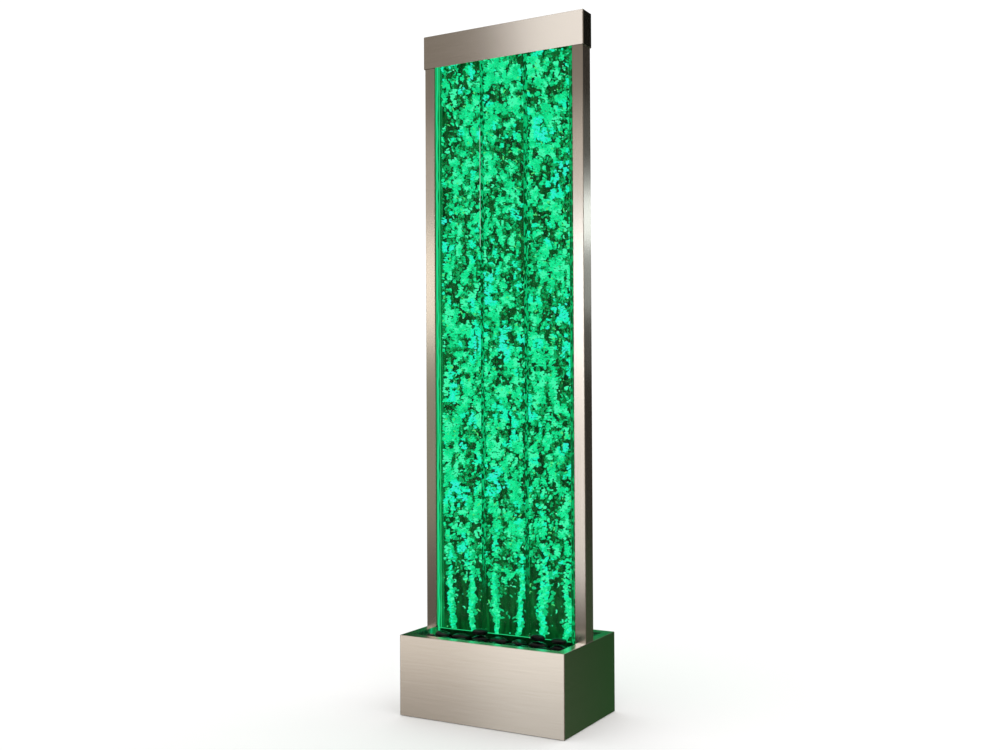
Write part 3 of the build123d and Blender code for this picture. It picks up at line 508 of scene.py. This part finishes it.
def water_painted_shade_slab():
    """A thin slab in the middle of each channel that stands in for the depth of the water, where there is
    only shade: painted shade with streaks of painted glow.
    """
    half = 1.5 * MM
    box_faces = ((3, 2, 1, 0), (4, 5, 6, 7), (0, 1, 5, 4), (1, 2, 6, 5), (2, 3, 7, 6), (3, 0, 4, 7))
    points, faces = [], []
    for channel in range(channels):
        left = chamber_low.x + channel * channel_width + divider_half + core_gap
        right = left + channel_width - 2 * divider_half - 2 * core_gap
        start = len(points)
        for z in (water_foot + core_gap, water_top):
            points += [(left, -half, z), (right, -half, z), (right, half, z), (left, half, z)]
        faces += [[start + place for place in face] for face in box_faces]
    piece = mesh_piece("water_painted_shade_slab", np.array(points), np.array(faces), [water_shade_and_glow_material()],
                       smooth=False)
    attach(piece, "lamp")


def smooth_field(random, shape, cells):
    """Smooth noise over a grid: random heights on a coarse lattice, blended with a cubic."""
    margin, short_of_last = 3, 0.001
    rows, columns = (max(2, int(count)) for count in cells)
    lattice = random.uniform(0, 1, (rows + margin, columns + margin))

    def blend(values, count):
        place = np.linspace(0, values.shape[0] - margin - short_of_last, count)
        index = place.astype(int)
        part = (place - index)[:, None]
        part = part * part * (3 - 2 * part)
        return values[index] * (1 - part) + values[index + 1] * part

    return blend(blend(lattice, shape[0]).T, shape[1]).T


def channel_grid(random, left, width, pitch):
    """Jittered places over a channel, as their x and z."""
    jitter = 0.45
    columns, rows = int(width / pitch), int((water_top - water_foot) / pitch)
    across, upward = np.meshgrid(np.arange(columns), np.arange(rows))
    x = left + (across + 0.5 + random.uniform(-jitter, jitter, across.shape)) * width / columns
    z = water_foot + (upward + 0.5 + random.uniform(-jitter, jitter, across.shape)) * (
        water_top - water_foot) / rows
    return x, z


def swirl(random, shape, width):
    """The pattern that bubbles gather in: small lobes, drawn out upwards, with clear pools between."""
    # Each layer's weight, and how tall and how wide its lobes are in millimetres
    layers = ((0.48, 10.5, 7.6), (0.32, 27, 16), (0.13, 75, 33), (0.07, 210, 14))
    return sum(weight * smooth_field(random, shape, (water_height_mm / tall, width / MM / wide))
               for weight, tall, wide in layers)


def thin_out(x, z):
    """How much fewer bubbles there are: near the foot, and in a narrow dark strip by one divider."""
    dark_strip_middle, dark_strip_half = 55 * MM, 8 * MM
    rise = (z - water_foot) / MM
    dark_strip = 0.13 * (np.abs(x - dark_strip_middle) < dark_strip_half)
    return (dark_strip + 0.4 * (1 - np.clip((rise - 20) / 220, 0, 1)) ** 1.2
            + 0.05 * (1 - np.clip(rise / 500, 0, 1)))


def pick_tones(random, count, shares, base):
    """A tone for each bubble: the shares are of the tones that differ from the base tone."""
    tones = np.full(count, tone_index[base])
    draw, start = random.uniform(0, 1, count), 0.0
    for tone, share in shares.items():
        tones[(draw > start) & (draw <= start + share)] = tone_index[tone]
        start += share
    return tones


def bubble_set(x, y, z, wide, deep, tall, tones):
    """Bubbles as their centres, their half sizes along x, y and z, and their tones."""
    return np.stack([x, y, z], 1), np.stack([wide, np.broadcast_to(deep, len(x)), tall], 1), tones


def bubble_cloud(name, random, shape, sets, left, width):
    """One mesh of many bubbles, each turned, ruffled and kept inside its channel."""
    ruffle = 0.06
    centres, sizes, tones = (np.concatenate(parts) for parts in zip(*sets))
    source, faces = shape
    count = len(centres)
    uneven = 1 + random.uniform(-ruffle, ruffle, (count, len(source)))
    points = source[None] * uneven[:, :, None] * sizes[:, None, :]
    turn = random.uniform(0, 2 * math.pi, count)
    cosine, sine = np.cos(turn)[:, None], np.sin(turn)[:, None]
    points = np.stack([points[:, :, 0] * cosine - points[:, :, 2] * sine, points[:, :, 1],
                       points[:, :, 0] * sine + points[:, :, 2] * cosine], axis=2)
    points += centres[:, None, :]
    points[:, :, 0] = np.clip(points[:, :, 0], left, left + width)
    points[:, :, 2] = np.clip(points[:, :, 2], water_foot + core_gap, water_top)
    starts = np.arange(count)[:, None, None] * len(source)
    all_faces = (faces[None] + starts).reshape(-1, 3)
    piece = mesh_piece(name, points.reshape(-1, 3), all_faces, bubble_tones.values(),
                       np.repeat(tones, len(faces)))
    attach(piece, "lamp")


def deep_bubbles(random, left, width):
    """Bubbles deep in the water, whose glows are dimmed as painted shade."""
    pitch, kept_from = 6.0 * MM, 0.62
    x, z = channel_grid(random, left, width, pitch)
    field = swirl(random, x.shape, width) - thin_out(x, z)
    keep = field > np.quantile(field, kept_from)
    x, z = x[keep], z[keep]
    count = len(x)
    radius = random.uniform(3.4, 4.8, count) * MM
    tall = radius * random.uniform(0.8, 1.6, count)
    y = random.uniform(-0.5, 0.5, count) * MM
    tones = pick_tones(random, count, {"deep": 0.5}, "mid")
    return bubble_set(x, y, z, radius, 4.5 * MM, tall, tones)


def curled_bubbles(random, left, width):
    """Short curls of bubbles that swirl on their own."""
    pitch, share, lowest = 10 * MM, 0.33, water_foot + 40 * MM
    links, link_mm = np.arange(5)[:, None], 1.9
    x, z = channel_grid(random, left, width, pitch)
    keep = (random.uniform(0, 1, x.shape) < share) & (z > lowest)
    x, z = x[keep], z[keep]
    count = len(x)
    heading = random.uniform(0.2, math.pi - 0.2, count)
    bend = random.uniform(-0.5, 0.5, count)
    turns = heading + bend * links
    x = np.concatenate(x + np.cumsum(np.cos(turns), axis=0) * link_mm * MM)
    z = np.concatenate(z + np.cumsum(np.sin(turns), axis=0) * link_mm * MM)
    radius = np.tile(random.uniform(1.3, 2.0, count), len(links)) * MM
    side = np.tile(random.choice([-1, 1], count), len(links))
    tones = np.tile(pick_tones(random, count, {"leaf": 0.12, "light": 0.2, "soft": 0.3}, "mint"),
                    len(links))
    return bubble_set(x, side * 2 * MM, z, radius, 4.0 * MM, radius, tones)


def small_bubbles(random, left, width):
    """Single small bubbles in the clear pools, fewer of them near the foot, and the curls."""
    pitch, near_foot = 7.5 * MM, water_foot + 60 * MM
    x, z = channel_grid(random, left, width, pitch)
    keep = random.uniform(0, 1, x.shape) < np.where(z < near_foot, 0.06, 0.13)
    x, z = x[keep], z[keep]
    count = len(x)
    radius = random.uniform(1.0, 2.0, count) * MM
    tall = radius * random.uniform(0.9, 1.6, count)
    side = random.choice([-1, 1], count)
    curls = curled_bubbles(random, left, width)
    y = side * random.uniform(2, 3, count) * MM
    tones = pick_tones(random, count, {"pale": 0.3, "leaf": 0.3}, "spring")
    return bubble_set(x, y, z, radius, 3.0 * MM, tall, tones), curls


def gathered_bubbles(random, left, width):
    """Bright bubbles that gather in lobes and fade at the rims of them: the fading is painted shade."""
    pitch, rim_share, core_share = 4.5 * MM, 0.615, 0.69
    x, z = channel_grid(random, left, width, pitch)
    field = swirl(random, x.shape, width) - thin_out(x, z)
    patch = (0.7 * smooth_field(random, x.shape, (40, 4))
             + 0.3 * smooth_field(random, x.shape, (16, 2)))
    shade = smooth_field(random, x.shape, (x.shape[0] / 3, x.shape[1] / 3))
    rim, core = np.quantile(field, rim_share), np.quantile(field, core_share)
    keep = field > rim
    x, z, patch, shade, field = x[keep], z[keep], patch[keep], shade[keep], field[keep]
    count = len(x)
    radius = random.uniform(2.1, 3.2, count) * MM
    deep = bubble_reach - random.uniform(1, 5, count) * MM
    tall = radius * random.uniform(1.1, 1.9, count)
    # Shades in small clusters, a few leaf green ones, and larger blue-green patches
    tones = np.where(shade > 0.62, tone_index["light"],
                     np.where(shade < 0.3, tone_index["mint"], tone_index["spring"]))
    tones[random.uniform(0, 1, count) < 0.015] = tone_index["leaf"]
    tones[patch > np.quantile(patch, 0.78)] = tone_index["cyan"]
    bluest = patch > np.quantile(patch, 0.90)
    tones[bluest & (random.uniform(0, 1, count) < 0.6)] = tone_index["aqua"]
    # Painted shade: towards the rims of the lobes more bubbles take the dimmer soft and mid glows
    fading = (core - field) / (core - rim)
    tones[fading > random.uniform(-0.15, 0.45, count)] = tone_index["soft"]
    tones[fading > random.uniform(0.35, 0.95, count)] = tone_index["mid"]
    y = random.uniform(-1, 1, count) * MM
    return bubble_set(x, y, z, radius, deep, tall, tones)


def column_path(random, middle, lean, rise):
    """Where the middle of a nozzle's column is at each height, as it leans, wanders and sways."""
    slow_waves, quick_waves, slow_mm, quick_mm = 6, 22, 16, 7
    leant_by, full_sway_at = 14, 70
    slow, quick = (smooth_field(random, (len(rise), 2), (count, 2))[:, 0] - 0.5
                   for count in (slow_waves, quick_waves))
    leant = lean * (1 - np.exp(-rise / leant_by))
    return middle + (leant + (slow_mm * slow + quick_mm * quick)
                     * np.clip(rise / full_sway_at, 0.1, 1)) * MM


def nozzle_column(random, left, width, channel, number):
    """The bubbles over one nozzle: a narrow column that loosens and breaks up as it rises."""
    column_height, step, per_step = 400, 2.0, 2
    breaking_up, fully_loose_at = 210, 45
    narrowest, loosening = 1.4, 8.0
    size = column_sizes[channel][number]
    nozzle_x = left + (2 * number + 1) / (2 * nozzles_each) * width
    heights = np.arange(2, column_height, step)
    middle = column_path(random, nozzle_x, column_leans[channel][number], heights)
    loose = smooth_field(random, (len(heights), 2), (20, 2))[:, 0]
    share = np.clip(1.3 - heights / breaking_up, 0.1, 1) * size
    kept = random.uniform(0, 1, len(heights)) < share
    pick = np.repeat(np.flatnonzero(kept), per_step)
    count, rise = len(pick), heights[pick]
    spread = (narrowest + loosening * loose[pick]
              * np.clip(rise / fully_loose_at, 0.15, 1)) * size * MM
    stray = random.normal(0, 1, count)
    radius = random.uniform(2.0, 4.8, count) * MM
    deep = bubble_reach - random.uniform(0, 4, count) * MM
    tall = radius * random.uniform(1.0, 2.0, count)
    y = random.uniform(-1, 1, count) * MM
    blue = 0.4 if (channel, number) in bluer_columns else 0.15
    tones = pick_tones(random, count, {"cyan": blue, "light": 0.2, "mint": 0.15}, "spring")
    # Painted shade: bubbles that stray far from the column's middle take the dimmer soft glow
    tones[np.abs(stray) > 1.1] = tone_index["soft"]
    return bubble_set(middle[pick] + stray * spread, y, water_foot + rise * MM,
                      radius, deep, tall, tones)


def bubble_channel(channel, side_name):
    """All the bubbles of one channel: two columns at the foot that break up into a dense field."""
    random = np.random.default_rng(40 + channel)
    left = chamber_low.x + channel * channel_width + divider_half + bubble_gap
    width = channel_width - 2 * divider_half - 2 * bubble_gap
    dim = deep_bubbles(random, left, width)
    bubble_cloud("bubbles_small_" + side_name, random, ball(0),
                 (dim, *small_bubbles(random, left, width)), left, width)
    field = gathered_bubbles(random, left, width)
    columns = [nozzle_column(random, left, width, channel, number)
               for number in range(nozzles_each)]
    bubble_cloud("bubbles_large_" + side_name, random, round_bead(), (field, *columns), left, width)


def bead(path, radius, sides=6):
    """Points and quads of a round bead along a path, square to it everywhere."""
    path = np.array(path)
    along = np.gradient(path, axis=0)
    along /= np.linalg.norm(along, axis=1)[:, None]
    outward = np.array([0.0, 1.0, 0.0])
    sideways = np.cross(along, outward)
    angles = np.arange(sides) * 2 * math.pi / sides
    rings = path[:, None] + radius * (np.cos(angles)[None, :, None] * sideways[:, None]
                                      + np.sin(angles)[None, :, None] * outward)
    quads = []
    for ring in range(len(path) - 1):
        for side in range(sides):
            after = (side + 1) % sides
            quads.append((ring * sides + side, ring * sides + after,
                          (ring + 1) * sides + after, (ring + 1) * sides + side))
    return rings.reshape(-1, 3), np.array(quads)


def seam_beads(name, lines, radius, materials):
    """Beads of lit cement along several lines as one piece, each line with its own material."""
    all_points, all_quads, all_tones, start = [], [], [], 0
    for tone, line in enumerate(lines):
        points, quads = bead(line, radius)
        all_points.append(points)
        all_quads.append(quads + start)
        all_tones.append(np.full(len(quads), tone))
        start += len(points)
    piece = mesh_piece(name, np.concatenate(all_points), np.concatenate(all_quads), materials,
                       np.concatenate(all_tones))
    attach(piece, "lamp")


def lit_seams():
    """Lines of light where the panel's pieces are cemented: its outline, the bars and the dividers, as
    beads of painted glow, the left-hand ones bright, the right-hand ones dimmer in painted shade.
    """
    outline_radius, bar_radius, divider_radius = 0.8 * MM, 1.0 * MM, 0.7 * MM
    foot, top = water_foot + 4 * MM, corner("header_cap", 0).z + 4 * MM
    reach = corner("tank_front_sheet", 1).x - 2.6 * MM
    bend, bend_steps = 9 * MM, 8
    inset = 1.1 * MM
    bar, divider = chamber_low.x + inset, chamber_low.x + channel_width
    # A painted highlight: the dividers' seams catch the light only in one stretch, high up
    divider_low, divider_high = 1.24, 1.56
    turns = [math.pi / 2 * place / bend_steps for place in range(bend_steps + 1)]
    for side, name in ((corner("tank_front_sheet", 0).y, "front"),
                       (corner("tank_back_sheet", 1).y, "back")):
        edge = [(-reach, side, top)]
        edge += [(-reach + bend * (1 - math.cos(angle)), side, foot + bend * (1 - math.sin(angle)))
                 for angle in turns]
        other = [(-x, y, z) for x, y, z in edge]
        seam_beads("lit_outline_seam_" + name, [edge + other[-1:], other], outline_radius,
                   [seam_glow, seam_painted_shade])
        inner = math.copysign(chamber_high.y - inset, side)
        seam_beads("lit_bar_seams_" + name,
                   [[(x, inner, foot), (x, inner, water_top)] for x in (bar, -bar)],
                   bar_radius, [seam_glow, seam_painted_shade])
        seam_beads("lit_divider_seams_" + name,
                   [[(x, side, divider_low), (x, side, divider_high)] for x in (divider, -divider)],
                   divider_radius, [seam_painted_highlight, seam_painted_shade])


water_painted_shade_slab()
for channel, side_name in enumerate(("left", "middle", "right")):
    bubble_channel(channel, side_name)
lit_seams()


# Floor, surroundings and lights
def plain_floor():
    """A pale floor that runs out of the picture."""
    half = 60.0
    material = new_material("pale_studio_floor", Roughness=0.9, Base_Color=linear("#FDFDFC"),
                            Specular_IOR_Level=0.0)[0]
    points = np.array([(-half, -half, 0), (half, -half, 0), (half, half, 0), (-half, half, 0)])
    piece = mesh_piece("studio_floor", points, np.array([(0, 1, 2, 3)]), [material], smooth=False)
    piece.visible_glossy = False


def surroundings():
    """White to the eye, through the panel and for soft light, and to the metal a warm grey room."""
    world = bpy.data.worlds.new("studio")
    bpy.context.scene.world = world
    world.use_nodes = True
    # Light samples would see the room where soft light has to see white
    world.cycles.sampling_method = "NONE"
    tree = world.node_tree
    tree.nodes.clear()
    place = add_node(tree, "ShaderNodeTexCoord")
    axes = add_node(tree, "ShaderNodeSeparateXYZ", links={"Vector": place.outputs["Generated"]})
    turn = add_node(tree, "ShaderNodeMath", None, {0: axes.outputs["X"], 1: axes.outputs["Y"]},
                    operation="ARCTAN2")
    around = add_node(tree, "ShaderNodeMapRange", {"From Min": -math.pi, "From Max": math.pi},
                      {"Value": turn.outputs["Value"]})
    # Half way round is straight behind the lamp: pale there, and dark on either side of it
    upper = add_node(tree, "ShaderNodeValToRGB", links={"Fac": around.outputs["Result"]},
                     steps=((0.0, "#7E746A"), (0.25, "#8E867C"), (0.36, "#8E867C"),
                            (0.385, "#12140E"), (0.45, "#12140E"), (0.472, "#A39C92"),
                            (0.508, "#A39C92"), (0.523, "#0C0C0A"), (0.625, "#0C0C0A"),
                            (0.65, "#8E867C"), (1.0, "#7E746A")))
    # Looking down, the dark on the right turns green, as the base's side shows it
    lower = add_node(tree, "ShaderNodeValToRGB", links={"Fac": around.outputs["Result"]},
                     steps=((0.0, "#544E48"), (0.25, "#6E685E"), (0.508, "#7A746A"),
                            (0.523, "#143A18"), (0.56, "#143A18"), (0.585, "#42523A"),
                            (0.625, "#3A4434"), (0.65, "#6E685E"), (1.0, "#544E48")))
    below = add_node(tree, "ShaderNodeMapRange", {"From Min": -0.16, "From Max": -0.11},
                     {"Value": axes.outputs["Z"]})
    level = add_node(tree, "ShaderNodeMix", None,
                     {"Factor": below.outputs["Result"], "A": lower.outputs["Color"],
                      "B": upper.outputs["Color"]}, data_type="RGBA")
    overhead = add_node(tree, "ShaderNodeMapRange", {"From Min": 0.5, "From Max": 0.9},
                        {"Value": axes.outputs["Z"]})
    room_tint = add_node(tree, "ShaderNodeMix", {"B": linear("#D2CEC8")},
                         {"Factor": overhead.outputs["Result"], "A": level.outputs["Result"]},
                         data_type="RGBA")
    room = add_node(tree, "ShaderNodeBackground", {"Strength": 1.0},
                    {"Color": room_tint.outputs["Result"]})
    white = add_node(tree, "ShaderNodeBackground", {"Color": linear("#FFFFFF"), "Strength": 1.08})
    ray = add_node(tree, "ShaderNodeLightPath")
    seen = add_node(tree, "ShaderNodeMath", None,
                    {0: ray.outputs["Is Camera Ray"], 1: ray.outputs["Is Transmission Ray"]},
                    operation="MAXIMUM")
    plain = add_node(tree, "ShaderNodeMath", None,
                     {0: seen.outputs["Value"], 1: ray.outputs["Is Diffuse Ray"]},
                     operation="MAXIMUM")
    mixed = add_node(tree, "ShaderNodeMixShader", None,
                     {0: plain.outputs["Value"], 1: room.outputs["Background"],
                      2: white.outputs["Background"]})
    add_node(tree, "ShaderNodeOutputWorld", links={"Surface": mixed.outputs["Shader"]})


def soft_box(name, place, target, size, radiance, hex_colour, only=None, diffuse=False):
    """A rectangle of light that the camera doesn't see, its brightness as a reflection shows it."""
    data = bpy.data.lights.new(name, "AREA")
    data.shape = "RECTANGLE"
    data.size, data.size_y = size
    data.energy = radiance * size[0] * size[1] * math.pi
    data.color = linear(hex_colour)[:3]
    light = bpy.data.objects.new(name, data)
    light.location = place
    light.rotation_mode = "QUATERNION"
    light.rotation_quaternion = (Vector(target) - Vector(place)).to_track_quat("-Z", "Y")
    light.visible_camera = False
    light.visible_diffuse = diffuse
    light.visible_transmission = False
    bpy.context.collection.objects.link(light)
    if only:
        receivers = bpy.data.collections.new(name + "_receivers")
        receivers.objects.link(nodes[only])
        light.light_linking.receiver_collection = receivers


def wall_box(only, x_range, z_range, radiance, hex_colour, y):
    """A soft box square to Y, in front of the lamp or behind it, that shines on one piece."""
    middle = ((x_range[0] + x_range[1]) / 2, y, (z_range[0] + z_range[1]) / 2)
    soft_box(f"{only}_box_{round(100 * z_range[0])}_{round(100 * x_range[0])}", middle,
             (middle[0], 0, middle[2]), (x_range[1] - x_range[0], z_range[1] - z_range[0]),
             radiance, hex_colour, only)


def steel_boxes():
    """Boxes that stand where each face of the steel mirrors them towards the camera."""
    front, back = -3.0, 2.7
    # The header's front
    wall_box("header_cap", (-1.6, -0.4), (2.3, 3.3), 1.65, "#FFFDFC", front)
    # The posts' fronts, brightest a little above the middle
    for z_range, radiance, hex_colour in (((1.0, 1.8), 3.4, "#FBFCFF"), ((1.8, 2.3), 1.0, "#FFF4EA"),
                                          ((0.7, 1.0), 2.4, "#FFFCFA"), ((-0.2, 0.7), 1.9, "#FFFAF8")):
        wall_box("post_right", (-1.2, -0.2), z_range, radiance, hex_colour, front)
    for z_range, radiance, hex_colour in (((1.15, 1.8), 3.4, "#FFF4E6"), ((1.8, 2.4), 1.0, "#FFF6EA"),
                                          ((0.0, 1.15), 0.34, "#E4FFD0")):
        wall_box("post_left", (-3.0, -2.14), z_range, radiance, hex_colour, front)
    # The base's front, brighter to the right and towards its top
    for x_range, z_range, radiance, hex_colour in (
            ((-1.66, -0.4), (-0.7, 0.4), 0.75, "#FFFFFC"), ((-1.66, -0.4), (-1.9, -0.7), 0.62, "#FFFCF8"),
            ((-3.0, -1.66), (-0.7, 0.4), 0.48, "#FFF6EC"), ((-3.0, -1.66), (-1.9, -0.7), 0.2, "#FFF6EC")):
        wall_box("base_shell", x_range, z_range, radiance, hex_colour, front)
    wall_box("base_shell", (-1.1, 0.9), (-0.02, 0.4), 0.5, "#FFF8F0", -0.7)
    # The right post's side: a bright patch that fades out around it
    wall_box("post_right", (1.1, 1.9), (1.6, 1.87), 2.2, "#F6FFFE", back)
    wall_box("post_right", (1.1, 1.9), (1.25, 2.0), 0.6, "#F6FFFC", back + 0.05)
    wall_box("post_right", (1.1, 1.9), (0.95, 2.35), 0.15, "#F6FFF8", back + 0.1)
    # The base's side, and the green on its rim
    wall_box("base_shell", (1.58, 2.3), (-1.6, 0.0), 0.035, "#FFFFE8", back)
    wall_box("base_shell", (0.6, 1.45), (-1.6, 0.0), 0.035, "#20FF70", back)
    wall_box("base_shell", (-1.6, -0.3), (0.3, 1.1), 0.3, "#20E080", 2.0)
    # Near the back, so only the back faces mirror them
    for reach in (0.10, 0.16, 0.22, 0.28, 0.34):
        wall_box("base_shell", (-0.44, reach), (-0.5, 0.12), 0.06, "#FFF8F0", 0.7)
        wall_box("header_cap", (-0.44, reach + 0.08), (1.3, 2.0), 0.06, "#FFF8F0", 0.6)


def panel_foot_lights():
    """The lit foot of the panel shines down on the stones on both sides."""
    out, height = 28 * MM, 235 * MM
    stones_out, stones_height = 120 * MM, 205 * MM
    size = (390 * MM, 20 * MM)
    for side, name in ((-1, "front"), (1, "back")):
        soft_box("panel_foot_light_" + name, (0, side * out, height),
                 (0, side * stones_out, stones_height), size, 0.5, "#10F088", diffuse=True)


plain_floor()
surroundings()
steel_boxes()
panel_foot_lights()
